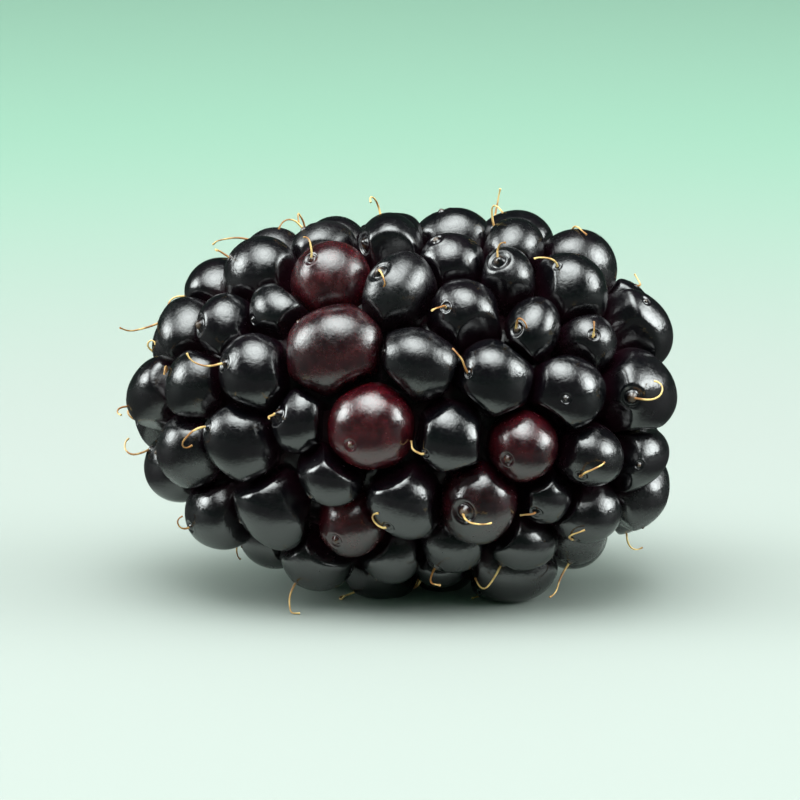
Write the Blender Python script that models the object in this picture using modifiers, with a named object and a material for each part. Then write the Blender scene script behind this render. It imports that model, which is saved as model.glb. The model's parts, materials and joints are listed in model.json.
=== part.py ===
"""Bramble berry, picked and lying on its side.

Frame: +X runs from the berry's tip to its stem end, +Z is up, and the berry rests on the plane z = 0.
Units are metres. There are two closed solids: the drupelets, grown together into one body with a socket at
the stem end, and the receptacle, the plug of the plant that the drupelets grew on.
"""

import math

import bmesh
import bpy
import numpy as np
from mathutils import Matrix, Vector

# Driving dimensions of the whole berry
BERRY_LENGTH = 0.0318
BERRY_WIDTH = 0.0230
DRUPELET_RADIUS = 0.00215
PROFILE_POWER = 2.6
STEM_END_FULLNESS = 0.045

# The ring of drupelets round the stem
RING_COUNT = 9
RING_RADIUS = 0.0052
RING_STATION = 0.88
RING_TURN_SPREAD = 0.12
RING_RADIUS_SPREAD = 0.05
RING_STRETCH = 1.35

# The drupelets of the body, which start on a spiral and are pushed apart
BODY_COUNT = 94
SPIRAL_END = 0.9
START_JITTER = 0.0015
SIZE_SPREAD = 0.11
SMALL_SHARE = 0.10
SMALL_SIZE = 0.76
PUSH_STEPS = 70
PUSH_STIFFNESS = 0.25
PUSH_SPACING = 1.06
NEAREST_COUNT = 4
SWELLING = 1.12
OUTWARD_STRETCH = 1.04
SEED = 23

# How far a drupelet may stand above its neighbours, or below them
HEIGHT_SPREAD = 0.00025

# Depth of the crevices: the flesh reaches this far above the drupelets' centres
CREVICE_FILL = 0.0008

# Receptacle, and its socket at the stem end
RECEPTACLE_RADIUS = 0.0021
RECEPTACLE_TIP_RADIUS = 0.0011
RECEPTACLE_LENGTH = 0.0060
RECEPTACLE_DOME = 0.0005
RECEPTACLE_SINK = 0.0019
SOCKET_GAP = 0.0003
SOCKET_MOUTH = 0.0040

# Rest on a flat surface
PRESSED_DEPTH = 0.00028
SETTLE_REACH = 0.0006
SETTLE_HALF_WIDTH = 0.0048

# Mesh fineness
DRUPELET_SEGMENTS = 9
DRUPELET_RINGS = 6
CORE_STEPS = 14
CORE_SEGMENTS = 20
RECEPTACLE_SEGMENTS = 28
MERGE_DISTANCE = 0.00001

GOLDEN_ANGLE = math.pi * (3 - math.sqrt(5))
HALF_LENGTH = BERRY_LENGTH / 2 - DRUPELET_RADIUS
HALF_WIDTH = BERRY_WIDTH / 2 - DRUPELET_RADIUS
AXIS_HEIGHT = BERRY_WIDTH / 2 - PRESSED_DEPTH


def remove_everything():
    for old in list(bpy.data.objects):
        bpy.data.objects.remove(old, do_unlink=True)


def new_collection(name):
    collection = bpy.data.collections.new(name)
    bpy.context.scene.collection.children.link(collection)
    return collection


def new_material(name, colour, roughness):
    material = bpy.data.materials.new(name)
    material.use_nodes = True
    shader = material.node_tree.nodes["Principled BSDF"]
    shader.inputs["Base Color"].default_value = (*colour, 1.0)
    shader.inputs["Roughness"].default_value = roughness
    shader.inputs["Metallic"].default_value = 0.0
    material.diffuse_color = (*colour, 1.0)
    return material


# The envelope: a turned surface that holds the drupelets' centres


def envelope_radius(station):
    """Radius of the envelope at a station from -1 (tip) to +1 (stem end)."""
    round_ends = np.sqrt(np.clip(1 - np.abs(station) ** PROFILE_POWER, 0, 1))
    return HALF_WIDTH * (1 + STEM_END_FULLNESS * station) * round_ends


def envelope_value(points):
    """Negative inside the envelope and positive outside it."""
    station = points[:, 0] / HALF_LENGTH
    width = HALF_WIDTH * (1 + STEM_END_FULLNESS * station)
    across = np.hypot(points[:, 1], points[:, 2])
    return np.abs(station) ** PROFILE_POWER + (across / width) ** 2 - 1


def envelope_gradient(points):
    step = 1e-6
    columns = []
    for offset in step * np.eye(3):
        change = envelope_value(points + offset) - envelope_value(points - offset)
        columns.append(change / (2 * step))
    return np.column_stack(columns)


def onto_envelope(points):
    for _ in range(4):
        gradient = envelope_gradient(points)
        steepness = np.maximum((gradient**2).sum(axis=1), 1.0)
        points = points - gradient * (envelope_value(points) / steepness)[:, None]
    return points


# Where the drupelets sit


def ring_start(rng):
    """The drupelets round the stem, which stay where they are put."""
    spread = rng.uniform(-RING_TURN_SPREAD, RING_TURN_SPREAD, RING_COUNT)
    turn = 2 * math.pi * (np.arange(RING_COUNT) + spread) / RING_COUNT
    across = RING_RADIUS * (1 + rng.uniform(-RING_RADIUS_SPREAD, RING_RADIUS_SPREAD, RING_COUNT))
    along = np.full(RING_COUNT, RING_STATION * HALF_LENGTH)
    return onto_envelope(np.column_stack([along, across * np.cos(turn), across * np.sin(turn)]))


def spiral_start(rng):
    """One golden-angle spiral from the tip to the ring, each point with the same share of the surface."""
    station = np.sin(np.linspace(-math.pi / 2, SPIRAL_END, 801))
    radius = envelope_radius(station)
    slant = np.hypot(np.diff(station) * HALF_LENGTH, np.diff(radius))
    area = np.concatenate([[0.0], np.cumsum(slant * (radius[1:] + radius[:-1]))])
    share = (np.arange(BODY_COUNT) + 0.5) / BODY_COUNT
    place = np.interp(share * area[-1], area, station)
    across = np.interp(place, station, radius)
    turn = GOLDEN_ANGLE * np.arange(BODY_COUNT)
    even = np.column_stack([place * HALF_LENGTH, across * np.cos(turn), across * np.sin(turn)])
    return onto_envelope(even + START_JITTER * rng.standard_normal(even.shape))


def drupelet_sizes(rng):
    count = RING_COUNT + BODY_COUNT
    sizes = DRUPELET_RADIUS * (1 + SIZE_SPREAD * rng.standard_normal(count).clip(-2, 2))
    small = rng.random(count) < SMALL_SHARE
    small[:RING_COUNT] = False
    return np.where(small, DRUPELET_RADIUS * SMALL_SIZE, sizes)


def gaps_between(points):
    offset = points[:, None] - points[None]
    distance = np.linalg.norm(offset, axis=2)
    np.fill_diagonal(distance, 1.0)
    return offset, distance


def push_apart(points, sizes):
    """Moves each point away from neighbours nearer than both sizes. The ring round the stem stays."""
    offset, distance = gaps_between(points)
    overlap = np.clip(PUSH_SPACING * (sizes[:, None] + sizes[None]) - distance, 0, None)
    push = (offset * (overlap / distance)[..., None]).sum(axis=1)
    push[:RING_COUNT] = 0
    return points + PUSH_STIFFNESS * push


def swollen_radii(points, sizes):
    """Each drupelet swells until it presses lightly on its nearest neighbours."""
    distance = gaps_between(points)[1]
    share = distance * (sizes[:, None] / (sizes[:, None] + sizes[None]))
    return SWELLING * np.sort(share, axis=1)[:, :NEAREST_COUNT].mean(axis=1)


def reach(points, radii, axis):
    return (points[:, axis] - radii).min(), (points[:, axis] + radii).max()


def fit_to_size(points, radii):
    """Spreads the centres until the drupelets reach the berry's length and width."""
    for axis, goal in enumerate((BERRY_LENGTH, BERRY_WIDTH, BERRY_WIDTH)):
        for _ in range(6):
            low, high = reach(points, radii, axis)
            centres_apart = high - low - 2 * DRUPELET_RADIUS
            points[:, axis] *= 1 + (goal - (high - low)) / centres_apart
    return points


def settle(points, radii):
    """Lowers the drupelets nearest the surface until they all touch it, as soft fruit does."""
    bottom = points[:, 2] - radii
    surface = bottom.min()
    under = np.abs(points[:, 1]) < SETTLE_HALF_WIDTH
    touching = under & (bottom < surface + SETTLE_REACH)
    points[touching, 2] = surface + radii[touching]
    points[:, 2] -= surface + PRESSED_DEPTH
    for axis in (0, 1):
        points[:, axis] -= sum(reach(points, radii, axis)) / 2
    return points


def drupelet_sites():
    """Centre, radius and outward direction of each drupelet, those of the ring round the stem first."""
    rng = np.random.default_rng(SEED)
    points = np.vstack([ring_start(rng), spiral_start(rng)])
    sizes = drupelet_sizes(rng)
    for _ in range(PUSH_STEPS):
        points = onto_envelope(push_apart(points, sizes))
    outward = envelope_gradient(points)
    outward /= np.linalg.norm(outward, axis=1)[:, None]
    radii = swollen_radii(points, sizes)
    points += HEIGHT_SPREAD * rng.uniform(-1, 1, len(points))[:, None] * outward
    points = settle(fit_to_size(points, radii), radii)
    return points, radii, outward


# The solids


def drupelet_matrix(centre, radius, outward, stretch):
    """Places a unit sphere with its pole outward, stretched along the berry."""
    up = Vector(outward)
    side = up.cross(Vector((1.0, 0.0, 0.0))).normalized()
    along = side.cross(up)
    turn = Matrix((along, side, up)).transposed().to_4x4()
    size = Matrix.Diagonal((radius * stretch, radius, radius * OUTWARD_STRETCH, 1.0))
    return Matrix.Translation(Vector(centre)) @ turn @ size


def unit_sphere_mesh():
    mesh = bpy.data.meshes.new("drupelet")
    shape = bmesh.new()
    bmesh.ops.create_uvsphere(
        shape, u_segments=DRUPELET_SEGMENTS, v_segments=DRUPELET_RINGS, radius=1.0
    )
    shape.to_mesh(mesh)
    shape.free()
    return mesh


def hide_as_cutter(cutter):
    cutter.display_type = "WIRE"
    cutter.hide_render = True


def add_drupelet_bodies(collection):
    mesh = unit_sphere_mesh()
    for number, (centre, radius, outward) in enumerate(zip(*drupelet_sites())):
        body = bpy.data.objects.new(f"drupelet_body_{number + 1:03d}", mesh)
        stretch = RING_STRETCH if number < RING_COUNT else 1.0
        body.matrix_world = drupelet_matrix(centre, radius, outward, stretch)
        hide_as_cutter(body)
        collection.objects.link(body)


def add_turned_solid(name, outline, segments, collection, along):
    """A solid turned about the berry's axis from (distance along it, radius) points, high end first."""
    mesh = bpy.data.meshes.new(name)
    shape = bmesh.new()
    corners = [shape.verts.new((radius, 0.0, height)) for height, radius in outline]
    for start, end in zip(corners, corners[1:]):
        shape.edges.new((start, end))
    shape.to_mesh(mesh)
    shape.free()
    solid = bpy.data.objects.new(name, mesh)
    collection.objects.link(solid)
    solid.location = (along, 0.0, AXIS_HEIGHT)
    solid.rotation_euler = (0.0, math.pi / 2, 0.0)
    screw = solid.modifiers.new("turn", "SCREW")
    screw.axis = "Z"
    screw.angle = 2 * math.pi
    screw.steps = segments
    screw.render_steps = segments
    screw.use_merge_vertices = True
    screw.merge_threshold = MERGE_DISTANCE
    screw.use_normal_calculate = True
    return solid


def core_outline():
    """The flesh that joins the drupelets, up to the floor of their crevices."""
    stations = np.cos(np.linspace(0, math.pi, CORE_STEPS + 1))
    radii = envelope_radius(stations) * (1 + CREVICE_FILL / HALF_WIDTH)
    half_length = HALF_LENGTH + CREVICE_FILL
    flank = list(zip(stations * half_length, radii))[1:-1]
    return [(half_length, 0.0), *flank, (-half_length, 0.0)]


def plug_flank(gap):
    """The receptacle's side, from just under its picked end to its tip, wider by the gap."""
    neck = RECEPTACLE_RADIUS + gap
    tip = RECEPTACLE_TIP_RADIUS + gap
    foot = -RECEPTACLE_LENGTH - gap
    return [
        (-0.1 * RECEPTACLE_LENGTH, neck),
        (-0.5 * RECEPTACLE_LENGTH, 0.9 * neck),
        (foot + 0.8 * tip, tip),
        (foot + 0.25 * tip, 0.75 * tip),
        (foot, 0.0),
    ]


def receptacle_outline():
    picked_end = [
        (RECEPTACLE_DOME, 0.0),
        (0.75 * RECEPTACLE_DOME, 0.6 * RECEPTACLE_RADIUS),
        (0.0, 0.97 * RECEPTACLE_RADIUS),
    ]
    return picked_end + plug_flank(0.0)


def socket_outline():
    mouth = [(SOCKET_MOUTH, 0.0), (SOCKET_MOUTH, RECEPTACLE_RADIUS + SOCKET_GAP)]
    return mouth + plug_flank(SOCKET_GAP)


def add_surface_block(collection):
    """A block under z = 0 that presses the lowest drupelets flat."""
    bpy.ops.mesh.primitive_cube_add(size=1.0)
    block = bpy.context.object
    block.name = "resting_surface"
    for old in list(block.users_collection):
        old.objects.unlink(block)
    collection.objects.link(block)
    block.scale = (2 * BERRY_LENGTH, 2 * BERRY_WIDTH, BERRY_WIDTH)
    block.location = (0.0, 0.0, -BERRY_WIDTH / 2)
    return block


def add_boolean(target, operation, operand):
    boolean = target.modifiers.new(f"{operation.lower()} {operand.name}", "BOOLEAN")
    boolean.operation = operation
    boolean.solver = "EXACT"
    if isinstance(operand, bpy.types.Collection):
        boolean.operand_type = "COLLECTION"
        boolean.collection = operand
    else:
        boolean.object = operand


def add_drupelets(collection, bodies, cutters):
    drupelets = add_turned_solid("drupelets", core_outline(), CORE_SEGMENTS, collection, 0.0)
    add_boolean(drupelets, "UNION", bodies)
    for cutter in cutters:
        add_boolean(drupelets, "DIFFERENCE", cutter)
    drupelets.data.materials.append(new_material("drupelet_skin", (0.012, 0.010, 0.016), 0.22))


def add_receptacle(collection, picked_end):
    outline = receptacle_outline()
    receptacle = add_turned_solid("receptacle", outline, RECEPTACLE_SEGMENTS, collection, picked_end)
    receptacle.data.shade_smooth()
    receptacle.data.materials.append(new_material("receptacle_flesh", (0.33, 0.31, 0.05), 0.55))


def main():
    remove_everything()
    berry = new_collection("bramble_berry")
    bodies = new_collection("drupelet_bodies")
    cutters = new_collection("cutters")

    add_drupelet_bodies(bodies)
    picked_end = BERRY_LENGTH / 2 - RECEPTACLE_SINK
    socket = add_turned_solid("socket", socket_outline(), RECEPTACLE_SEGMENTS, cutters, picked_end)
    surface = add_surface_block(cutters)
    hide_as_cutter(socket)
    hide_as_cutter(surface)

    add_drupelets(berry, bodies, (socket, surface))
    add_receptacle(berry, picked_end)


main()
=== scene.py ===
"""Looks of the bramble berry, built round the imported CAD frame. Units are metres, +Z is up.

Every drupelet is a piece of its own: a swollen globe pressed against its neighbours, in the CAD's places.
The flesh at the bottom of the crevices, the receptacle's picked end and the dried styles are three more.
"""

import json
import math

import bmesh
import bpy
import numpy as np
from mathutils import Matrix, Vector

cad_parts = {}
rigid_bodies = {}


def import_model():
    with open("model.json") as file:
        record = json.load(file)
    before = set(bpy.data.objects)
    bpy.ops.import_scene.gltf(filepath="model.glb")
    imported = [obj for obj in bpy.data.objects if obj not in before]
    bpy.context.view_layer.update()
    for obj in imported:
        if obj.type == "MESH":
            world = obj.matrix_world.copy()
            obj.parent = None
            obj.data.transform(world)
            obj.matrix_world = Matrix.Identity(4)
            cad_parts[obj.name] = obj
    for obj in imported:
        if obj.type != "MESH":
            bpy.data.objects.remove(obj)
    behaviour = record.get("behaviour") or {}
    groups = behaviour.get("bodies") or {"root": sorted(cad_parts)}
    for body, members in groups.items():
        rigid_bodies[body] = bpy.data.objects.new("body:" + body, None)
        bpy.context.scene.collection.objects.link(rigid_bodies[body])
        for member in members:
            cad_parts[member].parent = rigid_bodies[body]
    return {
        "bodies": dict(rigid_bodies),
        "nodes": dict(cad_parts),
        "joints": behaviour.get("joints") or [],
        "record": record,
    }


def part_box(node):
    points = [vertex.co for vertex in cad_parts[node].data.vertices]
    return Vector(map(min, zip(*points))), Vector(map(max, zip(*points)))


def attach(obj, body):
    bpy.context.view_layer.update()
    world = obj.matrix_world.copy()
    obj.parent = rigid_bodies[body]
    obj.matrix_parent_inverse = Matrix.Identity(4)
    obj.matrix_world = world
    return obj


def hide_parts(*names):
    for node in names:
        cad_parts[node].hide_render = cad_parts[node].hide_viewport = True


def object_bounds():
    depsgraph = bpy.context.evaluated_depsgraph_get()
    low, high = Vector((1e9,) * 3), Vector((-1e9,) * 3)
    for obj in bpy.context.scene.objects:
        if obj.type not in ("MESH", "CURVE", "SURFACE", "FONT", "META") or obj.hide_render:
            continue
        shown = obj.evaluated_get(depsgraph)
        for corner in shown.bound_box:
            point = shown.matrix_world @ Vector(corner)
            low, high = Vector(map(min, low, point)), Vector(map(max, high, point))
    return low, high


# The berry's arrangement, as in the CAD model
BERRY_LENGTH = 0.0318
BERRY_WIDTH = 0.0230
DRUPELET_RADIUS = 0.00215
PROFILE_POWER = 2.6
STEM_END_FULLNESS = 0.045
ENVELOPE_STEPS = 4
RING_COUNT = 9
RING_RADIUS = 0.0052
RING_STATION = 0.88
RING_TURN_SPREAD = 0.12
RING_RADIUS_SPREAD = 0.05
RING_STRETCH = 1.35
BODY_COUNT = 94
SPIRAL_END = 0.9
SPIRAL_SAMPLES = 801
START_JITTER = 0.0015
SIZE_SPREAD = 0.11
SMALL_SHARE = 0.10
SMALL_SIZE = 0.76
PUSH_STEPS = 70
PUSH_STIFFNESS = 0.25
PUSH_SPACING = 1.06
NEAREST_COUNT = 4
SWELLING = 1.12
FIT_STEPS = 6
PRESSED_DEPTH = 0.00028
SETTLE_REACH = 0.0006
SETTLE_HALF_WIDTH = 0.0048
HEIGHT_SPREAD = 0.00025
SEED = 23
GOLDEN_ANGLE = math.pi * (3 - math.sqrt(5))
HALF_LENGTH = BERRY_LENGTH / 2 - DRUPELET_RADIUS
HALF_WIDTH = BERRY_WIDTH / 2 - DRUPELET_RADIUS

# Random streams: the looks as a whole, the flanks between two drupelets, and the styles
LOOK_SEED = 5
PAIR_STREAM = 1000
STYLE_STREAM = 5000

# Shape of the drupelets. Waves are given as their number, longest and shortest.
SPHERE_FINENESS = 5
SWELL_MORE = 1.05
OUTWARD_STRETCH = 1.03
OUTWARD_SPREAD = (0.93, 1.08)
INWARD_STRETCH = 1.45
OVAL_SPREAD = 0.15
WOBBLE = 0.019
WOBBLE_WAVES = (7, 0.0070, 0.0026)

# The ones round the stem, which taper towards the receptacle and leave a hollow
RING_INNER_STRETCH = (0.95, 1.25)
RING_TAPER = 0.38
PLUG_CLEARANCE = 0.0001
HOLLOW_FLARE = 0.0009
HOLLOW_SOFTNESS = 0.0003
HOLLOW_END = 1.3

# Where two drupelets press on each other
NEIGHBOUR_REACH = 1.35
CREVICE_WIDTH = 0.00012
FLANK_LEAN = 0.09
FLANK_TILT = 0.16
FLANK_SHIFT = 0.00014
SHOULDER = 0.00012
SHOULDER_SPREAD = (0.7, 2.0)

# Where they press on the surface that the berry lies on
RESTING_DEPTH = 0.00022
RESTING_SOFTNESS = 0.00010

# Flesh at the bottom of the crevices, which ends in a foot at the receptacle
WEB_HEIGHT = -0.0004
WEB_ROUGHNESS = 0.016
WEB_WAVES = (12, 0.0045, 0.0012)
WEB_START = -math.pi / 2 + 0.02
WEB_END = math.radians(58)
WEB_STEPS = 90
WEB_TURNS = 150
WEB_FOOT_STEPS = 10
WEB_FOOT_DEPTH = 0.002
WEB_FOOT_RADIUS = 0.0017

# Scars: their place, in radians from the drupelet's top, their radius, how far the mesh is finer round
# them, and their relief in radii as the height, distance and spread of a nipple, a dent and a rim
SCAR_LEAN = (0.35, 0.95)
SCAR_TURN = 0.7
SCAR_RADIUS = (0.00018, 0.00034)
BIG_SCAR_SHARE = 0.16
BIG_SCAR_RADIUS = 0.00050
SCAR_FINE_REACH = (2.6, 1.6)
SCAR_FINE_MARGIN = (0.08, 0.03)
SCAR_RELIEF = ((0.34, 0.0, 0.50), (-0.30, 0.95, 0.34), (0.09, 1.70, 0.45))

# Dried styles: angles in radians. The taper is the thickness at both ends, in radii; the knob is where it
# starts, as a share of the length, and what it adds.
STYLE_SHARE = 0.72
STYLE_LENGTH = (0.0014, 0.0034)
STYLE_RADIUS = 0.000062
STYLE_TAPER = (1.15, 0.60)
STYLE_KNOB = (0.88, 0.5)
STYLE_ROOT = 0.00004
STYLE_RISE = 0.9
STYLE_LEAN = 0.5
STYLE_SCATTER = 0.5
STYLE_POINTS = 14
STYLE_CURL = (0.9, 4.0)
STYLE_HOOK = (0.2, 1.2)
STYLE_UNEVENNESS = 0.10
STYLE_PUSHES = 3
STYLE_CLEARANCE = 1.2 * STYLE_RADIUS
SKIN_SWELLING = 1.02

# Unripe drupelets are firmer: their flanks bulge outward, and lean less
UNRIPE_FIRMNESS = 0.00042
UNRIPE_STEADINESS = 0.7

# Each one's place seen from the camera, in half lengths to the right and half widths up, its redness, and
# whether it faces the camera. A drupelet's own place is taken at this share of its radius.
SKIN_SHARE = 0.7
FACING = 0.1
UNRIPE = (
    (-0.14, 0.03, 1.0, True),
    (-0.12, 0.41, 0.55, True),
    (-0.25, 0.78, 0.9, True),
    (0.43, -0.18, 0.75, True),
    (-0.11, -0.60, 0.8, True),
    (0.29, -0.44, 0.3, True),
    (-0.35, 0.20, 0.6, False),
    (0.62, -0.15, 0.8, False),
)

# Picked end of the receptacle: depth behind its outermost point, and share of its radius
PLUG_OUTLINE = (
    (0.0055, 0.30),
    (0.0040, 0.72),
    (0.0020, 0.98),
    (0.0010, 1.00),
    (0.0006, 0.90),
    (0.0004, 0.70),
    (0.0003, 0.40),
    (0.0003, 0.01),
)
PLUG_TURNS = 96
PLUG_STEPS = 56
PLUG_SMOOTHINGS = 3
PLUG_INSET = 0.0001
PLUG_LUMP = 0.00009
PLUG_LUMP_WAVES = (9, 0.0022, 0.0008)
PLUG_TEAR = 0.00010
PLUG_TEAR_WAVES = (5, 0.0016, 0.0007)
PLUG_TEAR_SHARE = 0.95
PLUG_TEAR_WIDTH = 0.2
PLUG_FIBRE = 0.00002
PLUG_FIBRE_COUNT = 23
PLUG_FIBRE_START = 0.15
PLUG_FIBRE_SWAY = 2
PLUG_FIBRE_SWAYS = 5
PLUG_LIFT = (-0.0003, 0.0001)
PLUG_RIM = 0.05
PLUG_RIM_WAVES = (4, 0.0030, 0.0012)

# Colours of the skin
INK = (0.0008, 0.0010, 0.0018)
PURPLE = (0.0030, 0.0014, 0.0030)
# Painted glow: wine red laid on the drupelets' flanks, standing in for light through the thin skin
FLANK_GLOW_WINE = (0.020, 0.0020, 0.0065)
MAROON = (0.030, 0.0012, 0.0034)
LIGHT_MAROON = (0.068, 0.0028, 0.0060)
SCAR_BROWN = (0.085, 0.040, 0.014)

# Colours of the rest
# Near black: the crevice flesh's own dark colour and painted shade deep in the crevices
CREVICE_DARK_AND_SHADE = (0.0020, 0.0008, 0.0014)
CREVICE_WINE = (0.0100, 0.0016, 0.0036)
STYLE_GOLD = (0.80, 0.52, 0.20)
STYLE_BROWN = (0.30, 0.12, 0.03)
OLIVE = (0.028, 0.023, 0.002)
LIGHT_OLIVE = (0.062, 0.052, 0.004)
BRUISE_BROWN = (0.018, 0.010, 0.002)

# Floor, which curves up into a wall
FLOOR_NEAR = (0.285, 0.305, 0.288)
FLOOR_FAR = (0.22, 0.36, 0.28)
FLOOR_BLEND = (0.04, 0.20)
FLOOR_MIDDLE = 0.0001
FLOOR_FLAT = 0.1
FLOOR_BEND = 0.30
FLOOR_BEND_POINTS = 25
FLOOR_TURNS = 120
WALL_RADIUS = 0.60
WALL_HEIGHT = 0.45

# Room. In gloss it is dark, and the floor fades out over this reach from the berry's middle.
ROOM_COLOUR = (0.75, 0.85, 0.80)
ROOM_LIGHT = 1.5
ROOM_IN_GLOSS = 0.03
GLOSS_REACH = (0.016, 0.028)
GLOSS_LOSS = 0.93

# Softboxes: name, azimuth, elevation, distance, size, radiance and spread in degrees
LIGHT_COLOUR = (0.94, 1.0, 0.99)
SOFTBOXES = (
    ("key", -10, 74, 0.42, 0.76, 8.6, 180),
    ("right", 84, 21, 0.50, 0.72, 11.5, 105),
    ("left", -88, 26, 0.50, 0.58, 11.5, 105),
)

# Camera, and the share of the frame's width that the berry fills
CAMERA_ELEVATION = math.radians(12)
CAMERA_LENS = 200
CAMERA_SENSOR = 36
CAMERA_NEAREST = 0.001
BERRY_SHARE = 0.68


# Where the drupelets sit, as in the CAD model


def envelope_radius(station):
    """Radius of the envelope at a station from -1 (tip) to +1 (stem end)."""
    round_ends = np.sqrt(np.clip(1 - np.abs(station) ** PROFILE_POWER, 0, 1))
    return HALF_WIDTH * (1 + STEM_END_FULLNESS * station) * round_ends


def envelope_value(points):
    """Negative inside the envelope and positive outside it."""
    station = points[:, 0] / HALF_LENGTH
    width = HALF_WIDTH * (1 + STEM_END_FULLNESS * station)
    across = np.hypot(points[:, 1], points[:, 2])
    return np.abs(station) ** PROFILE_POWER + (across / width) ** 2 - 1


def envelope_gradient(points):
    step = 1e-6
    columns = []
    for offset in step * np.eye(3):
        change = envelope_value(points + offset) - envelope_value(points - offset)
        columns.append(change / (2 * step))
    return np.column_stack(columns)


def onto_envelope(points):
    for _ in range(ENVELOPE_STEPS):
        gradient = envelope_gradient(points)
        steepness = np.maximum((gradient**2).sum(axis=1), 1.0)
        points = points - gradient * (envelope_value(points) / steepness)[:, None]
    return points


def ring_start(rng):
    """The drupelets round the stem, which stay where they are put."""
    spread = rng.uniform(-RING_TURN_SPREAD, RING_TURN_SPREAD, RING_COUNT)
    turn = 2 * math.pi * (np.arange(RING_COUNT) + spread) / RING_COUNT
    across = RING_RADIUS * (1 + rng.uniform(-RING_RADIUS_SPREAD, RING_RADIUS_SPREAD, RING_COUNT))
    along = np.full(RING_COUNT, RING_STATION * HALF_LENGTH)
    return onto_envelope(np.column_stack([along, across * np.cos(turn), across * np.sin(turn)]))


def spiral_start(rng):
    """One golden-angle spiral from the tip to the ring, each point with the same share of the surface."""
    station = np.sin(np.linspace(-math.pi / 2, SPIRAL_END, SPIRAL_SAMPLES))
    radius = envelope_radius(station)
    slant = np.hypot(np.diff(station) * HALF_LENGTH, np.diff(radius))
    area = np.concatenate([[0.0], np.cumsum(slant * (radius[1:] + radius[:-1]))])
    share = (np.arange(BODY_COUNT) + 0.5) / BODY_COUNT
    place = np.interp(share * area[-1], area, station)
    across = np.interp(place, station, radius)
    turn = GOLDEN_ANGLE * np.arange(BODY_COUNT)
    even = np.column_stack([place * HALF_LENGTH, across * np.cos(turn), across * np.sin(turn)])
    return onto_envelope(even + START_JITTER * rng.standard_normal(even.shape))


def drupelet_sizes(rng):
    count = RING_COUNT + BODY_COUNT
    sizes = DRUPELET_RADIUS * (1 + SIZE_SPREAD * rng.standard_normal(count).clip(-2, 2))
    small = rng.random(count) < SMALL_SHARE
    small[:RING_COUNT] = False
    return np.where(small, DRUPELET_RADIUS * SMALL_SIZE, sizes)


def gaps_between(points):
    offset = points[:, None] - points[None]
    distance = np.linalg.norm(offset, axis=2)
    np.fill_diagonal(distance, 1.0)
    return offset, distance


def push_apart(points, sizes):
    """Moves each point away from neighbours nearer than both sizes. The ring round the stem stays."""
    offset, distance = gaps_between(points)
    overlap = np.clip(PUSH_SPACING * (sizes[:, None] + sizes[None]) - distance, 0, None)
    push = (offset * (overlap / distance)[..., None]).sum(axis=1)
    push[:RING_COUNT] = 0
    return points + PUSH_STIFFNESS * push


def swollen_radii(points, sizes):
    """Each drupelet swells until it presses lightly on its nearest neighbours."""
    distance = gaps_between(points)[1]
    share = distance * (sizes[:, None] / (sizes[:, None] + sizes[None]))
    return SWELLING * np.sort(share, axis=1)[:, :NEAREST_COUNT].mean(axis=1)


def reach(points, radii, axis):
    return (points[:, axis] - radii).min(), (points[:, axis] + radii).max()


def fit_to_size(points, radii):
    """Spreads the centres until the drupelets reach the berry's length and width."""
    for axis, goal in enumerate((BERRY_LENGTH, BERRY_WIDTH, BERRY_WIDTH)):
        for _ in range(FIT_STEPS):
            low, high = reach(points, radii, axis)
            centres_apart = high - low - 2 * DRUPELET_RADIUS
            points[:, axis] *= 1 + (goal - (high - low)) / centres_apart
    return points


def settle(points, radii):
    """Lowers the drupelets nearest the surface until they all touch it, as soft fruit does."""
    bottom = points[:, 2] - radii
    surface = bottom.min()
    under = np.abs(points[:, 1]) < SETTLE_HALF_WIDTH
    touching = under & (bottom < surface + SETTLE_REACH)
    points[touching, 2] = surface + radii[touching]
    points[:, 2] -= surface + PRESSED_DEPTH
    for axis in (0, 1):
        points[:, axis] -= sum(reach(points, radii, axis)) / 2
    return points


def drupelet_sites():
    """Centre, radius and outward direction of each drupelet, those of the ring round the stem first."""
    rng = np.random.default_rng(SEED)
    points = np.vstack([ring_start(rng), spiral_start(rng)])
    sizes = drupelet_sizes(rng)
    for _ in range(PUSH_STEPS):
        points = onto_envelope(push_apart(points, sizes))
    outward = envelope_gradient(points)
    outward /= np.linalg.norm(outward, axis=1)[:, None]
    radii = swollen_radii(points, sizes)
    points += HEIGHT_SPREAD * rng.uniform(-1, 1, len(points))[:, None] * outward
    points = settle(fit_to_size(points, radii), radii)
    return points, radii, outward


# Drupelets

DOWN = np.array([0.0, 0.0, -1.0])


def add_object(name, data):
    made = bpy.data.objects.new(name, data)
    bpy.context.scene.collection.objects.link(made)
    return made


def unit(vector):
    return vector / np.linalg.norm(vector)


def soft_excess(distance, softness):
    """How far a point is past a plane, rounded off within softness of it."""
    return (distance + np.sqrt(distance**2 + softness**2)) / 2


def press_against(points, normal, limit, softness):
    """Moves points beyond a plane back onto it. The edge where they meet it is rounded."""
    past = soft_excess(points @ normal - limit, softness)
    return points - past[:, None] * normal


def waves(points, rng, count, longest, shortest):
    """A smooth random field of unit strength, as a sum of plane waves."""
    total = np.zeros(len(points))
    for _ in range(count):
        direction = unit(rng.standard_normal(3))
        length = rng.uniform(shortest, longest)
        total += np.sin(points @ direction * (2 * math.pi / length) + rng.uniform(0, 2 * math.pi))
    return total / math.sqrt(count / 2)


def refine_round(shape, middle, distance):
    """Halves the edges of a unit sphere within a distance of a point on it."""
    near = [edge for edge in shape.edges if (edge.verts[0].co - middle).length < distance]
    bmesh.ops.subdivide_edges(shape, edges=near, cuts=1)
    bmesh.ops.triangulate(shape, faces=[face for face in shape.faces if len(face.verts) > 3])
    for vertex in shape.verts:
        vertex.co.normalize()


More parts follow.
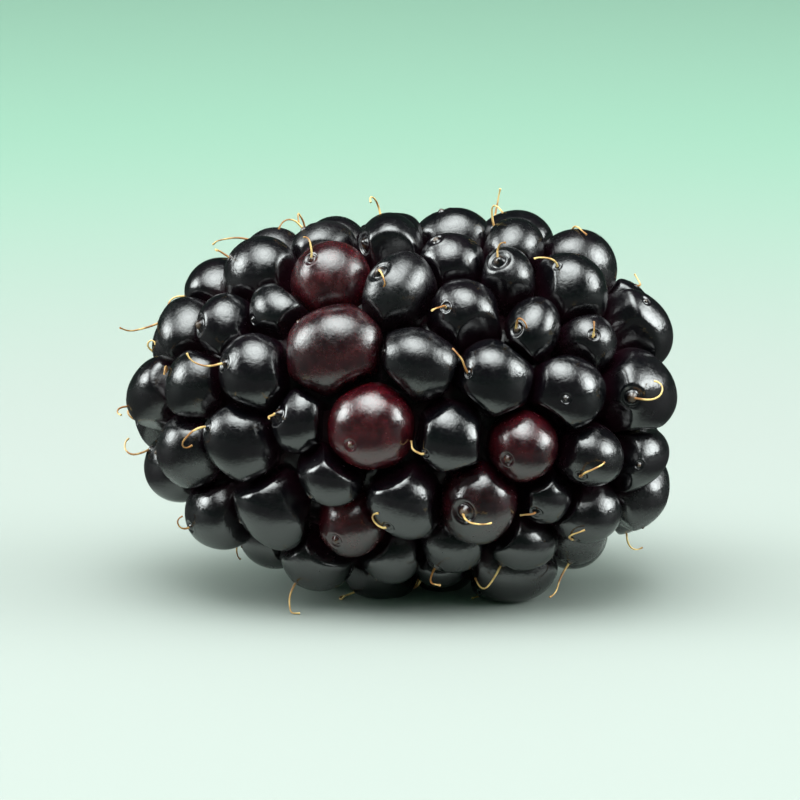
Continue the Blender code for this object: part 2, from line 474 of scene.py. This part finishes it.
def unit_sphere(scar=None, width=0.0):
    """A unit sphere. Its mesh is finer round a scar on it, whose width is a share of the radius."""
    mesh = bpy.data.meshes.new("drupelet")
    shape = bmesh.new()
    bmesh.ops.create_icosphere(shape, subdivisions=SPHERE_FINENESS, radius=1.0)
    if scar is not None:
        for share, margin in zip(SCAR_FINE_REACH, SCAR_FINE_MARGIN):
            refine_round(shape, Vector(scar), share * width + margin)
    shape.to_mesh(mesh)
    shape.free()
    return mesh


def vertex_places(mesh):
    places = np.empty(len(mesh.vertices) * 3, np.float32)
    mesh.vertices.foreach_get("co", places)
    return places.reshape(-1, 3).astype(float)


class Berry:
    """The drupelets' places, and what each needs to know of its neighbours."""

    def __init__(self):
        self.centres, self.radii, self.outward = drupelet_sites()
        self.count = len(self.radii)
        self.distance = gaps_between(self.centres)[1]
        self.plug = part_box("receptacle")
        self.redness = unripe_drupelets(self)

    def axes(self, number):
        """Unit vectors along the berry, round it and outward, at one drupelet."""
        up = self.outward[number]
        side = unit(np.cross(up, (1.0, 0.0, 0.0)))
        return np.cross(side, up), side, up

    def neighbours(self, number):
        both = self.radii[number] + self.radii
        return np.flatnonzero(self.distance[number] < NEIGHBOUR_REACH * both)


def flank(berry, number, other):
    """The plane where two drupelets press on each other, seen from the first: its normal and distance."""
    first, second = min(number, other), max(number, other)
    rng = np.random.default_rng((LOOK_SEED, PAIR_STREAM + first, second))
    steadiness = UNRIPE_STEADINESS * max(berry.redness[first], berry.redness[second])
    tilt = FLANK_TILT * rng.standard_normal(3) * (1 - steadiness)
    shift = FLANK_SHIFT * rng.standard_normal()
    shift += UNRIPE_FIRMNESS * (berry.redness[first] - berry.redness[second])
    toward = unit(berry.centres[second] - berry.centres[first])
    normal = unit(toward + tilt)
    share = berry.radii[first] / (berry.radii[first] + berry.radii[second])
    place = berry.centres[first] + toward * (share * berry.distance[first, second] + shift)
    if number == second:
        normal = -normal
    return normal, float(normal @ (place - berry.centres[number]))


def scar_direction(berry, number, rng):
    """Where the style sat: on the side of the drupelet that faces the berry's tip."""
    along, side, up = berry.axes(number)
    lean = rng.uniform(*SCAR_LEAN)
    turn = rng.uniform(-SCAR_TURN, SCAR_TURN)
    sideways = math.sin(lean) * math.sin(turn) * side
    return math.cos(lean) * up - math.sin(lean) * math.cos(turn) * along + sideways


def drupelet_points(berry, number, directions, rng):
    """The skin of one drupelet, round its centre."""
    along, side, up = berry.axes(number)
    radius = berry.radii[number] * SWELL_MORE
    twist = rng.uniform(0, math.pi)
    stretch = rng.uniform(0.0, OVAL_SPREAD) * (1 - berry.redness[number])
    high = OUTWARD_STRETCH * rng.uniform(*OUTWARD_SPREAD)
    local = np.column_stack([directions @ along, directions @ side, directions @ up])
    if number < RING_COUNT:
        twist, stretch = 0.0, 0.0
        inward = np.clip(local[:, 0], 0, None)
        local[:, 0] *= np.where(inward > 0, rng.uniform(*RING_INNER_STRETCH), RING_STRETCH)
        local[:, 1] *= 1 - RING_TAPER * inward**1.5
    cos, sin = math.cos(twist), math.sin(twist)
    first = (cos * local[:, 0] + sin * local[:, 1]) * (1 + stretch)
    second = (cos * local[:, 1] - sin * local[:, 0]) * (1 - stretch)
    rise = np.where(local[:, 2] > 0, high, INWARD_STRETCH) * local[:, 2]
    frame = np.array([cos * along + sin * side, cos * side - sin * along, up])
    points = radius * np.column_stack([first, second, rise]) @ frame
    for other in berry.neighbours(number):
        normal, limit = flank(berry, number, other)
        leaning = unit(normal + FLANK_LEAN * up)
        softness = SHOULDER * rng.uniform(*SHOULDER_SPREAD)
        points = press_against(points, leaning, limit - CREVICE_WIDTH / 2, softness)
    points = points * (1 + WOBBLE * waves(points, rng, *WOBBLE_WAVES))[:, None]
    points = clear_of_plug(berry, number, points)
    return rest_on_floor(points, berry.centres[number, 2])


def rest_on_floor(points, height):
    """Presses a low drupelet, whose centre is at a height, flat where it meets z = 0."""
    deepest = -points[:, 2].min()
    if deepest > height:
        below = np.clip(-points[:, 2], 0, None) / deepest
        points[:, 2] += below**2 * max(deepest - height - RESTING_DEPTH, 0.0)
        points = press_against(points, DOWN, height, RESTING_SOFTNESS)
    return points


def clear_of_plug(berry, number, points):
    """Keeps the drupelets round the stem off the receptacle, which is a plug along the berry's axis."""
    low, high = (np.array(corner) for corner in berry.plug)
    middle = (low + high) / 2
    place = points + berry.centres[number] - middle
    across = np.maximum(np.hypot(place[:, 1], place[:, 2]), 1e-6)
    along = place[:, 0] / (high[0] - low[0]) + 0.5
    room = (high[1] - low[1]) / 2 + PLUG_CLEARANCE + HOLLOW_FLARE * np.clip(along, 0, HOLLOW_END) ** 2
    push = np.where(along > 0, soft_excess(room - across, HOLLOW_SOFTNESS), 0.0)
    moved = points.copy()
    moved[:, 1:] += place[:, 1:] * (push / across)[:, None]
    return moved


def scar_vertex(points, centre, direction):
    """The vertex of the skin that lies in a direction from the drupelet's centre."""
    outward = points - centre
    outward /= np.linalg.norm(outward, axis=1)[:, None]
    return int(np.argmax(outward @ direction))


def with_scar(points, scar, outward, width):
    """Raises a nipple, a ring-shaped dent round it and a low rim round that."""
    reach = np.linalg.norm(points - scar, axis=1) / width
    height = sum(rise * np.exp(-(((reach - place) / spread) ** 2)) for rise, place, spread in SCAR_RELIEF)
    return points + width * height[:, None] * outward


def give_attribute(mesh, name, kind, values):
    """Stores values at a mesh's vertices, for its material to read."""
    data = mesh.attributes.new(name, kind, "POINT").data
    is_vector = kind == "FLOAT_VECTOR"
    shape = (len(data), 3) if is_vector else len(data)
    filled = np.broadcast_to(np.asarray(values, np.float32), shape)
    data.foreach_set("vector" if is_vector else "value", np.ascontiguousarray(filled).ravel())


def camera_directions():
    """Unit vectors from the berry to the camera, and upward in its picture."""
    level, lift = math.cos(CAMERA_ELEVATION), math.sin(CAMERA_ELEVATION)
    return np.array([0.0, -level, lift]), np.array([0.0, lift, level])


def unripe_drupelets(berry):
    """Redness of each drupelet: 0 where it is ripe."""
    low, high = berry.centres.min(axis=0), berry.centres.max(axis=0)
    middle = (low + high) / 2
    toward, up = camera_directions()
    skin = berry.centres + berry.outward * berry.radii[:, None] * SKIN_SHARE - middle
    found = np.zeros(berry.count)
    for across, above, redness, in_front in UNRIPE:
        offset = np.hypot(skin[:, 0] - across * BERRY_LENGTH / 2, skin @ up - above * BERRY_WIDTH / 2)
        facing = berry.outward @ toward * (1 if in_front else -1) > FACING
        found[int(np.argmin(np.where(facing, offset, 1.0)))] = redness
    return found


def add_drupelets(berry, ripe, unripe):
    """One piece for each drupelet. Returns the place of each one's scar.

    The skin is worked out twice from the same random numbers: on an even mesh, which finds the place of the
    scar, and on the mesh that is finer there. The last step keeps the scar's relief above the surface.
    """
    even = unit_sphere()
    coarse = vertex_places(even)
    bpy.data.meshes.remove(even)
    scars = []
    for number in range(berry.count):
        rng = np.random.default_rng((LOOK_SEED, number))
        centre, up = berry.centres[number], berry.outward[number]
        points = centre + drupelet_points(berry, number, coarse, rng)
        vertex = scar_vertex(points, centre, scar_direction(berry, number, rng))
        scar = points[vertex]
        width = BIG_SCAR_RADIUS if rng.random() < BIG_SCAR_SHARE else rng.uniform(*SCAR_RADIUS)
        dullness = rng.random() ** 2
        scars.append(scar)
        mesh = unit_sphere(coarse[vertex], width / berry.radii[number])
        mesh.name = f"drupelet_{number + 1:03d}"
        rng = np.random.default_rng((LOOK_SEED, number))
        points = centre + drupelet_points(berry, number, vertex_places(mesh), rng)
        points = with_scar(points, scar, unit(scar - centre), width)
        points[:, 2] = np.maximum(points[:, 2], 0.0)
        mesh.vertices.foreach_set("co", points.astype(np.float32).ravel())
        give_attribute(mesh, "scar", "FLOAT_VECTOR", scar)
        give_attribute(mesh, "scar_width", "FLOAT", width)
        give_attribute(mesh, "redness", "FLOAT", berry.redness[number])
        give_attribute(mesh, "dullness", "FLOAT", dullness)
        give_attribute(mesh, "crown", "FLOAT", (points - centre) @ up / berry.radii[number])
        mesh.shade_smooth()
        mesh.materials.append(unripe if berry.redness[number] else ripe)
        piece = add_object(mesh.name, mesh)
        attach(piece, "root")
        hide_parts("drupelets")
    return scars


# Turned pieces: the flesh in the crevices and the receptacle's picked end


def turned_grid(along, radius, turns):
    """Spreads an outline round the berry's axis: along and radius at each point, and its turn."""
    turn, along = np.meshgrid(np.linspace(0, 2 * math.pi, turns, endpoint=False), along)
    return along.ravel(), np.repeat(radius, turns), turn.ravel()


def add_turned_piece(name, points, turns, material, node):
    """A closed piece from rings of points, which replaces one node of the CAD model."""
    rings = len(points) // turns
    faces = []
    for ring in range(rings - 1):
        for place in range(turns):
            beside = (place + 1) % turns
            first, second = ring * turns, (ring + 1) * turns
            faces.append([first + place, first + beside, second + beside, second + place])
    faces.append(list(range(turns))[::-1])
    faces.append(list(range((rings - 1) * turns, rings * turns)))
    mesh = bpy.data.meshes.new(name)
    mesh.from_pydata(points.tolist(), [], faces)
    mesh.shade_smooth()
    mesh.materials.append(material)
    piece = add_object(name, mesh)
    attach(piece, "root")
    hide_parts(node)


def add_web(berry, material):
    """The flesh that joins the drupelets at the bottom of their crevices, down to the receptacle."""
    rng = np.random.default_rng(LOOK_SEED + 2)
    low, high = berry.centres.min(axis=0), berry.centres.max(axis=0)
    middle, half = (low + high) / 2, (high - low) / 2
    station = np.sin(np.linspace(WEB_START, WEB_END, WEB_STEPS))
    along = middle[0] + station * (half[0] + WEB_HEIGHT)
    radius = envelope_radius(station) / HALF_WIDTH * (half[1] + WEB_HEIGHT)
    inward = np.linspace(0, 1, WEB_FOOT_STEPS)[1:]
    along = np.append(along, along[-1] + inward * (berry.plug[0][0] + WEB_FOOT_DEPTH - along[-1]))
    radius = np.append(radius, radius[-1] + inward * (WEB_FOOT_RADIUS - radius[-1]))
    along, radius, turn = turned_grid(along, radius, WEB_TURNS)
    around = np.column_stack([along - middle[0], radius * np.cos(turn), radius * np.sin(turn)])
    around[:, 1:] *= (1 + WEB_ROUGHNESS * waves(around, rng, *WEB_WAVES))[:, None]
    add_turned_piece("crevice_web", middle + around, WEB_TURNS, material, "drupelets")


def smoothed(values):
    """Rounds off a row of values, apart from its ends."""
    for _ in range(PLUG_SMOOTHINGS):
        values[1:-1] = (values[:-2] + 2 * values[1:-1] + values[2:]) / 4
    return values


def add_plug(berry, material):
    """The receptacle's picked end: a lumpy, faintly fibrous dome, torn at its rim."""
    low, high = (np.array(corner) for corner in berry.plug)
    middle = (low + high) / 2
    rng = np.random.default_rng(LOOK_SEED + 1)
    places = np.linspace(0, 1, len(PLUG_OUTLINE))
    steps = np.linspace(0, 1, PLUG_STEPS)
    depth, share = (smoothed(np.interp(steps, places, column)) for column in zip(*PLUG_OUTLINE))
    depth, share, turn = turned_grid(depth, share, PLUG_TURNS)
    radius = share * (high[1] - low[1]) / 2
    flat = np.column_stack([np.zeros_like(turn), radius * np.cos(turn), radius * np.sin(turn)])
    torn = np.clip(1 - np.abs(share - PLUG_TEAR_SHARE) / PLUG_TEAR_WIDTH, 0, 1)
    sway = PLUG_FIBRE_SWAY * np.sin(turn * PLUG_FIBRE_SWAYS)
    fibres = np.sin(turn * PLUG_FIBRE_COUNT + sway) * np.clip(share - PLUG_FIBRE_START, 0, 1)
    lift = PLUG_TEAR * torn * waves(flat, rng, *PLUG_TEAR_WAVES) + PLUG_FIBRE * fibres
    lift += PLUG_LUMP * waves(flat, rng, *PLUG_LUMP_WAVES)
    radius = radius * (1 - PLUG_RIM * np.abs(waves(flat, rng, *PLUG_RIM_WAVES)))
    x = high[0] - PLUG_INSET - depth + np.clip(lift, *PLUG_LIFT)
    points = np.column_stack([x, middle[1] + radius * np.cos(turn), middle[2] + radius * np.sin(turn)])
    add_turned_piece("receptacle_plug", points, PLUG_TURNS, material, "receptacle")


# Dried styles


def push_out_of_skin(berry, path):
    """Moves a style's points out of the drupelets and off the surface that the berry lies on."""
    for _ in range(STYLE_PUSHES):
        offset = path[:, None] - berry.centres[None]
        distance = np.linalg.norm(offset, axis=2)
        depth = berry.radii[None] * SKIN_SWELLING + STYLE_CLEARANCE - distance
        deepest = depth.argmax(axis=1)
        rows = np.arange(len(path))
        push = np.clip(depth[rows, deepest], 0, None) / distance[rows, deepest]
        path = path + offset[rows, deepest] * push[:, None]
        path[:, 2] = np.maximum(path[:, 2], STYLE_CLEARANCE)
    return path


def style_path(berry, number, scar, rng):
    """A dried style: it leaves its scar and curls over towards the berry's tip."""
    along, _, up = berry.axes(number)
    heading = unit(STYLE_RISE * up - STYLE_LEAN * along + STYLE_SCATTER * rng.standard_normal(3))
    axis = unit(np.cross(heading, rng.standard_normal(3)))
    length = rng.uniform(*STYLE_LENGTH)
    curl = rng.uniform(*STYLE_CURL)
    hook = rng.uniform(*STYLE_HOOK)
    path = [scar - STYLE_ROOT * up]
    for share in np.linspace(0, 1, STYLE_POINTS)[1:]:
        turn = curl / STYLE_POINTS * (1 + hook * (share - 0.5) * 2)
        heading = heading * math.cos(turn) + np.cross(axis, heading) * math.sin(turn)
        heading = unit(heading + STYLE_UNEVENNESS * rng.standard_normal(3))
        path.append(path[-1] + heading * length / (STYLE_POINTS - 1))
    path = np.array(path)
    path[1:] = push_out_of_skin(berry, path[1:])
    path[2:-1] = (path[1:-2] + 2 * path[2:-1] + path[3:]) / 4
    return path


def style_thickness(share):
    """Share of the style's radius at a share of its length: it tapers, and ends in a small knob."""
    first, last = STYLE_TAPER
    knob_start, knob_height = STYLE_KNOB
    knob = max(0.0, share - knob_start) / (1 - knob_start)
    return first + (last - first) * share + knob_height * knob


def add_styles(berry, scars, material):
    """The dried styles of most drupelets, as one piece."""
    curve = bpy.data.curves.new("dried_styles", "CURVE")
    curve.dimensions = "3D"
    curve.bevel_depth = STYLE_RADIUS
    curve.bevel_resolution = 1
    curve.use_fill_caps = True
    for number, scar in enumerate(scars):
        rng = np.random.default_rng((LOOK_SEED, STYLE_STREAM + number))
        if rng.random() > STYLE_SHARE:
            continue
        path = style_path(berry, number, scar, rng)
        spline = curve.splines.new("POLY")
        spline.points.add(len(path) - 1)
        for share, point, place in zip(np.linspace(0, 1, len(path)), spline.points, path):
            point.co = (*place, 1.0)
            point.radius = style_thickness(share)
    temporary = add_object("styles_curve", curve)
    shown = temporary.evaluated_get(bpy.context.evaluated_depsgraph_get())
    mesh = bpy.data.meshes.new_from_object(shown)
    mesh.name = "dried_styles"
    mesh.shade_smooth()
    mesh.materials.clear()
    mesh.materials.append(material)
    bpy.data.objects.remove(temporary)
    piece = add_object("dried_styles", mesh)
    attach(piece, "root")


# Materials


class Nodes:
    """The node tree of a material, light or world, with a short call for each kind of node."""

    def __init__(self, owner):
        owner.use_nodes = True
        self.tree = owner.node_tree

    def node(self, kind, inputs, **settings):
        """A node with its settings, and its inputs linked or set."""
        made = self.tree.nodes.new(kind)
        for name, value in settings.items():
            setattr(made, name, value)
        for name, value in inputs.items():
            self.feed(made.inputs[name], value)
        return made

    def feed(self, socket, value):
        if isinstance(value, bpy.types.NodeSocket):
            self.tree.links.new(value, socket)
        else:
            socket.default_value = value

    def distance(self, place, centre):
        made = self.node("ShaderNodeVectorMath", {0: place, 1: centre}, operation="DISTANCE")
        return made.outputs["Value"]

    def span(self, value, low, high, first=0.0, last=1.0):
        """Maps low..high to first..last, smoothly and no further."""
        ends = {"Value": value, "From Min": low, "From Max": high, "To Min": first, "To Max": last}
        return self.node("ShaderNodeMapRange", ends, interpolation_type="SMOOTHSTEP").outputs["Result"]

    def maths(self, operation, first, second):
        return self.node("ShaderNodeMath", {0: first, 1: second}, operation=operation).outputs[0]

    def is_glossy_ray(self):
        return self.node("ShaderNodeLightPath", {}).outputs["Is Glossy Ray"]


class Look(Nodes):
    """A material with one Principled shader. Its patterns lie at places on the object."""

    def __init__(self, name):
        self.material = bpy.data.materials.new(name)
        super().__init__(self.material)
        self.shader = self.tree.nodes["Principled BSDF"]
        self.place = self.tree.nodes.new("ShaderNodeTexCoord").outputs["Object"]

    def surface(self, **inputs):
        for name, value in inputs.items():
            self.feed(self.shader.inputs[name.replace("_", " ")], value)

    def attribute(self, name, output="Fac"):
        return self.node("ShaderNodeAttribute", {}, attribute_name=name).outputs[output]

    def noise(self, scale, detail=2.0):
        inputs = {"Vector": self.place, "Scale": scale, "Detail": detail}
        return self.node("ShaderNodeTexNoise", inputs).outputs["Fac"]

    def mix(self, share, first, second):
        made = self.node("ShaderNodeMix", {0: share}, data_type="RGBA")
        for socket, colour in zip((made.inputs[6], made.inputs[7]), (first, second)):
            self.feed(socket, (*colour, 1) if isinstance(colour, tuple) else colour)
        return made.outputs[2]

    def ramp(self, value, stops):
        """A height that follows a value, from (value, height) stops."""
        made = self.node("ShaderNodeValToRGB", {"Fac": value})
        elements = made.color_ramp.elements
        for _ in stops[2:]:
            elements.new(0.5)
        for element, (position, height) in zip(elements, stops):
            element.position = position
            element.color = (height, height, height, 1)
        return made.outputs["Color"]

    def bump(self, height, depth, below=None):
        inputs = {"Height": height, "Distance": depth, "Strength": 1.0}
        if below is not None:
            inputs["Normal"] = below
        return self.node("ShaderNodeBump", inputs).outputs["Normal"]


def skin_material(name, red):
    """Glossy, faintly mottled skin with the scar of a style, and a painted glow of wine red on its flanks.
    Red skin is maroon where it is less ripe, fullest on its flanks as painted glow.
    """
    look = Look(name)
    broad, mottle, grain = look.noise(330, 3.0), look.noise(1300, 3.0), look.noise(5200, 2.0)
    crown = look.attribute("crown")
    away = look.distance(look.place, look.attribute("scar", "Vector"))
    reach = look.maths("DIVIDE", away, look.attribute("scar_width"))

    colour = look.mix(look.span(broad, 0.35, 0.68), INK, PURPLE)
    # Painted glow: from partway down the flanks into the crevices, the skin turns up to half wine red, as
    # if lit through it
    colour = look.mix(look.span(crown, 0.55, -0.15, 0.0, 0.5), colour, FLANK_GLOW_WINE)
    if red:
        patch = look.mix(look.span(mottle, 0.34, 0.66), MAROON, LIGHT_MAROON)
        blush = look.span(broad, 0.40, 0.62, 0.55, 1.0)
        # Painted glow: the maroon is full on the flanks and drops to about half at the top, as if light
        # shone through the skin at the rim
        top = look.span(crown, 0.75, 1.05, 1.0, 0.55)
        share = look.maths("MULTIPLY", look.maths("MULTIPLY", blush, top), look.attribute("redness"))
        colour = look.mix(share, colour, patch)
        look.surface(Subsurface_Weight=0.25, Subsurface_Radius=(1.0, 0.2, 0.15), Subsurface_Scale=0.0006)
    brown = look.maths("MULTIPLY", look.span(reach, 0.75, 0.25), look.span(mottle, 0.35, 0.6))
    colour = look.mix(brown, colour, SCAR_BROWN)

    rough = look.span(mottle, 0.30, 0.72, 0.09, 0.19)
    rough = look.maths("ADD", rough, look.span(grain, 0.3, 0.7, 0.0, 0.06))
    rough = look.maths("ADD", rough, look.maths("MULTIPLY", look.attribute("dullness"), 0.12))
    rough = look.maths("MAXIMUM", rough, look.maths("MULTIPLY", brown, 0.7))

    ring = look.ramp(
        look.maths("DIVIDE", reach, 2.5),
        ((0.0, 0.75), (0.10, 0.45), (0.30, 0.40), (0.44, 0.62), (0.60, 0.5), (1.0, 0.5)),
    )
    normal = look.bump(mottle, 0.000028)
    normal = look.bump(grain, 0.0000085, normal)
    normal = look.bump(ring, 0.00004, normal)
    look.surface(Base_Color=colour, Roughness=rough, IOR=1.85, Normal=normal)
    look.surface(Coat_Weight=0.1, Coat_Roughness=0.35, Coat_Normal=normal)
    return look.material


def web_material():
    """Wet flesh, near black: partly its own dark colour, partly painted shade deep in the crevices."""
    look = Look("crevice_web")
    lumps = look.noise(900, 4.0)
    # Both colours are near black, partly painted shade where the crevices are deep
    colour = look.mix(look.span(lumps, 0.4, 0.65), CREVICE_DARK_AND_SHADE, CREVICE_WINE)
    rough = look.span(lumps, 0.3, 0.7, 0.15, 0.35)
    look.surface(Base_Color=colour, Roughness=rough, IOR=1.3, Normal=look.bump(lumps, 0.00008))
    return look.material


def style_material():
    """Dry and golden, browner in places."""
    look = Look("dry_style")
    colour = look.mix(look.span(look.noise(900), 0.40, 0.60), STYLE_GOLD, STYLE_BROWN)
    rough = look.span(look.noise(2500), 0.3, 0.7, 0.38, 0.6)
    look.surface(Base_Color=colour, Roughness=rough, Normal=look.bump(look.noise(9000), 0.00001))
    return look.material


def flesh_material():
    """Dark olive, wet and fibrous, brown where it is bruised."""
    look = Look("receptacle_flesh")
    fibre, blotch = look.noise(3600, 3.0), look.noise(800, 2.0)
    colour = look.mix(look.span(fibre, 0.30, 0.70), OLIVE, LIGHT_OLIVE)
    colour = look.mix(look.span(blotch, 0.46, 0.66), colour, BRUISE_BROWN)
    rough = look.span(fibre, 0.3, 0.7, 0.35, 0.60)
    look.surface(Base_Color=colour, Roughness=rough, Normal=look.bump(fibre, 0.00001))
    look.surface(Coat_Weight=0.5, Coat_Roughness=0.12, Coat_Normal=look.bump(blotch, 0.00003))
    return look.material


def floor_material():
    """Pale round the berry, and mint green further off. In gloss it fades out away from the berry."""
    look = Look("floor")
    away = look.distance(look.place, (0.0, 0.0, 0.0))
    colour = look.mix(look.span(away, *FLOOR_BLEND), FLOOR_NEAR, FLOOR_FAR)
    unseen = look.maths("MULTIPLY", look.is_glossy_ray(), look.span(away, *GLOSS_REACH, 0.0, GLOSS_LOSS))
    colour = look.mix(unseen, colour, (0.0, 0.0, 0.0))
    look.surface(Base_Color=colour, Roughness=0.7, Specular_IOR_Level=0.2)
    return look.material


# Studio


def add_softbox(name, azimuth, elevation, distance, size, radiance, spread):
    """A square soft light that aims at the berry, brightest in its middle. Azimuth 0 is the camera's side.

    A spread under 180 degrees is that of a grid on the light, which keeps it off the floor and the wall.
    """
    turn, lift = math.radians(azimuth), math.radians(elevation)
    toward = Vector((math.sin(turn) * math.cos(lift), -math.cos(turn) * math.cos(lift), math.sin(lift)))
    light = bpy.data.lights.new(name, "AREA")
    light.shape = "SQUARE"
    light.size = size
    light.color = LIGHT_COLOUR
    light.energy = radiance * math.pi * size**2
    if spread < 180:
        half = math.radians(spread / 2)
        light.spread = 2 * half
        light.energy *= (math.tan(half) - half) / math.tan(half)
    nodes = Nodes(light)
    place = nodes.node("ShaderNodeNewGeometry", {}).outputs["Parametric"]
    fade = nodes.span(nodes.distance(place, (0.5, 0.5, 0.0)), 0.0, 0.5, 1.0, 0.0)
    nodes.feed(nodes.tree.nodes["Emission"].inputs["Strength"], fade)
    lamp = add_object(name, light)
    lamp.location = Vector((0, 0, BERRY_WIDTH / 2)) + toward * distance
    lamp.rotation_euler = (-toward).to_track_quat("-Z", "Y").to_euler()
    lamp.visible_camera = False


def add_camera(box):
    """A long lens at the photograph's angle, as far off as the berry's share of the frame needs."""
    low, high = (np.array(corner) for corner in box)
    toward, _ = camera_directions()
    camera = bpy.data.cameras.new("camera")
    camera.sensor_width = CAMERA_SENSOR
    camera.lens = CAMERA_LENS
    camera.clip_start = CAMERA_NEAREST
    distance = (high[0] - low[0]) / BERRY_SHARE * camera.lens / camera.sensor_width
    eye = add_object("camera", camera)
    eye.location = (low + high) / 2 + toward * distance
    eye.rotation_euler = Vector(-toward).to_track_quat("-Z", "Y").to_euler()
    bpy.context.scene.camera = eye


def add_stage():
    """A pale floor that curves up into a wall all round."""
    rise = WALL_RADIUS - FLOOR_BEND
    turns = np.linspace(0, math.pi / 2, FLOOR_BEND_POINTS)
    bend = [(FLOOR_BEND + rise * math.sin(turn), rise * (1 - math.cos(turn))) for turn in turns]
    outline = [(FLOOR_MIDDLE, 0.0), (FLOOR_FLAT, 0.0), *bend, (WALL_RADIUS, WALL_HEIGHT)]
    mesh = bpy.data.meshes.new("floor")
    shape = bmesh.new()
    corners = [shape.verts.new((radius, 0.0, height)) for radius, height in outline]
    edges = [shape.edges.new(pair) for pair in zip(corners, corners[1:])]
    full_turn = {"axis": (0, 0, 1), "cent": (0, 0, 0), "angle": 2 * math.pi, "steps": FLOOR_TURNS}
    bmesh.ops.spin(shape, geom=corners + edges, use_merge=True, **full_turn)
    shape.to_mesh(mesh)
    shape.free()
    mesh.shade_smooth()
    mesh.materials.append(floor_material())
    add_object("floor", mesh)


def set_world():
    """Pale light from all round that fills the shadows. Gloss sees a dark room."""
    world = bpy.data.worlds.new("studio")
    nodes = Nodes(world)
    background = nodes.tree.nodes["Background"]
    background.inputs["Color"].default_value = (*ROOM_COLOUR, 1)
    strength = nodes.span(nodes.is_glossy_ray(), 0.0, 1.0, ROOM_LIGHT, ROOM_IN_GLOSS)
    nodes.feed(background.inputs["Strength"], strength)
    bpy.context.scene.world = world


def main():
    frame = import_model()
    cad_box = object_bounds()
    berry = Berry()
    scars = add_drupelets(berry, skin_material("drupelet_skin", False), skin_material("unripe_skin", True))
    add_web(berry, web_material())
    add_styles(berry, scars, style_material())
    add_plug(berry, flesh_material())
    add_stage()
    add_camera(cad_box)
    for softbox in SOFTBOXES:
        add_softbox(*softbox)
    set_world()
    bpy.context.scene.view_settings.view_transform = "Standard"


main()
